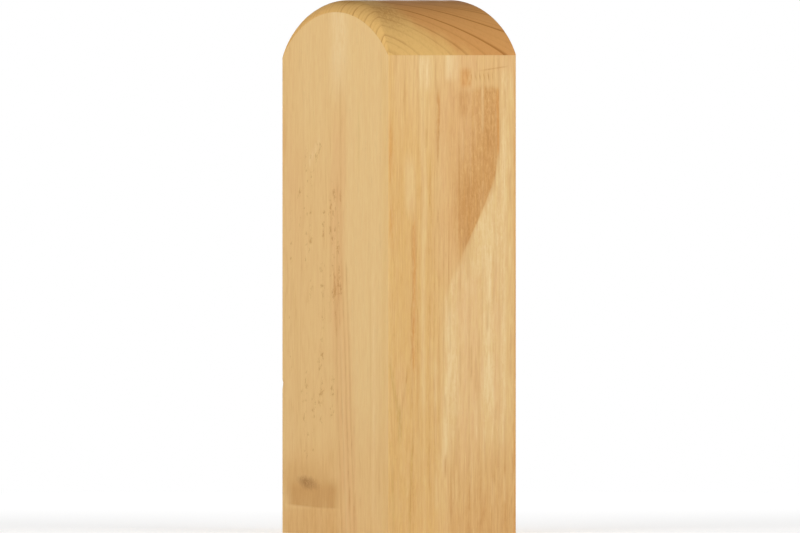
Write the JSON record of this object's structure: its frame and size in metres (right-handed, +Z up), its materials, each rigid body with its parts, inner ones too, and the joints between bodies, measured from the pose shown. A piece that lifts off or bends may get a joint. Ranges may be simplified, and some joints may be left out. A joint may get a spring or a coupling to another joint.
{
  "type": "newel post",
  "caption": "Square planed softwood newel post with an arched, rounded crown and level side shoulders, cut square below.",
  "frame": {"origin": "middle of the flat underside, where the post is cut square", "axes": "+Z up along the post, -Y out of the arched front face, +X out of the side face with the level shoulder"},
  "size_m": [0.09, 0.09, 0.2888],
  "materials": {
    "pine": "planed and sanded softwood, bare, warm honey colour, satin to matt"
  },
  "bodies": {
    "root": {"newel_post": "pine"}
  },
  "joints": []
}
